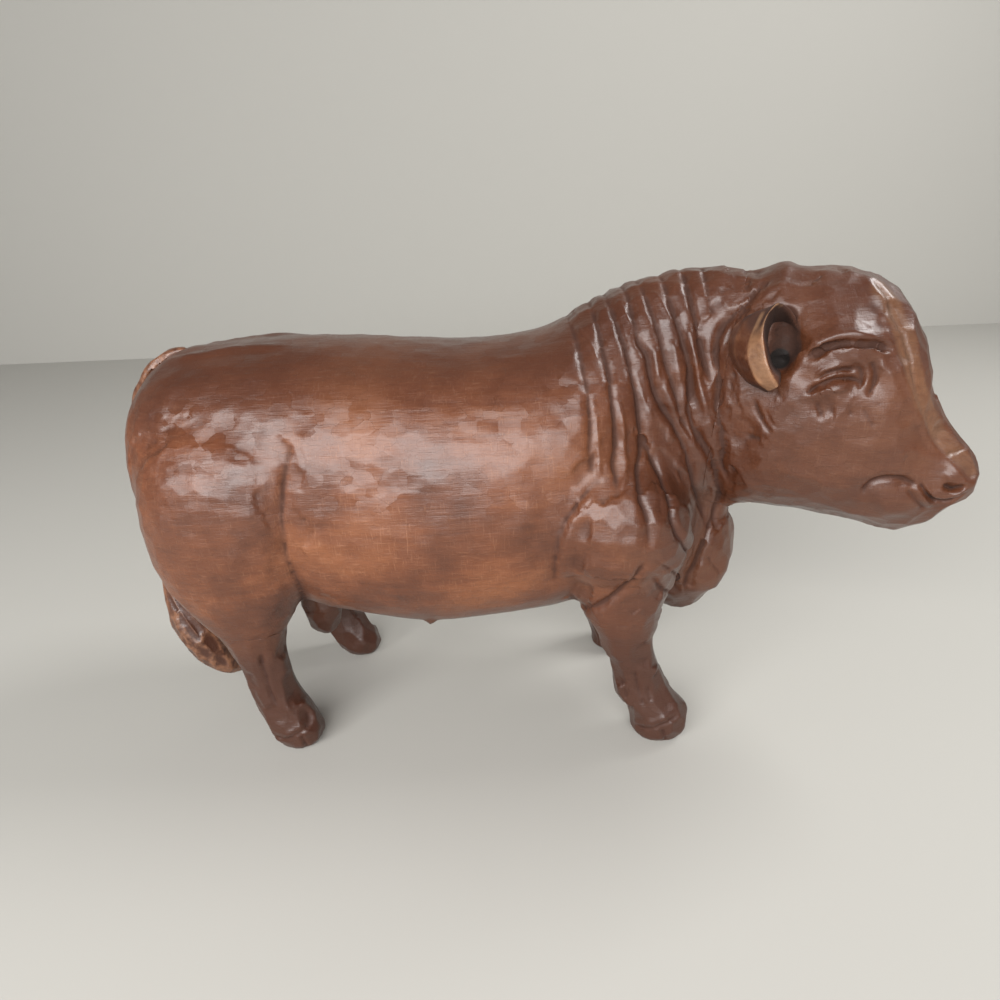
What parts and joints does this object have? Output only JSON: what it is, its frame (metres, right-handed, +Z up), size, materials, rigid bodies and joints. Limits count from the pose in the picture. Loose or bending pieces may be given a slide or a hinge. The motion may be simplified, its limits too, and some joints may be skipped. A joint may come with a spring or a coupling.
{
  "type": "bull figurine",
  "caption": "Carved wooden standing bull without horns, its head turned to its right, stained dark reddish brown.",
  "frame": {"origin": "on the floor, at the middle of the figure's length and width", "axes": "+X from the rump towards the nose, +Y towards the bull's left side, +Z up"},
  "size_m": [0.3429, 0.118, 0.2028],
  "materials": {
    "stained_wood": "carved hardwood, stained dark reddish brown, satin varnish",
    "dowel_wood": "plain turned hardwood, glued in"
  },
  "bodies": {
    "root": {"body": "stained_wood", "head": "stained_wood", "tail": "stained_wood", "rear_right_leg": "stained_wood", "front_right_leg": "stained_wood", "rear_left_leg": "stained_wood", "front_left_leg": "stained_wood", "right_ear": "stained_wood", "left_ear": "stained_wood", "neck_dowels": "dowel_wood", "rear_leg_dowels": "dowel_wood", "front_leg_dowels": "dowel_wood", "ear_pegs": "dowel_wood", "tail_peg": "dowel_wood"}
  },
  "joints": []
}
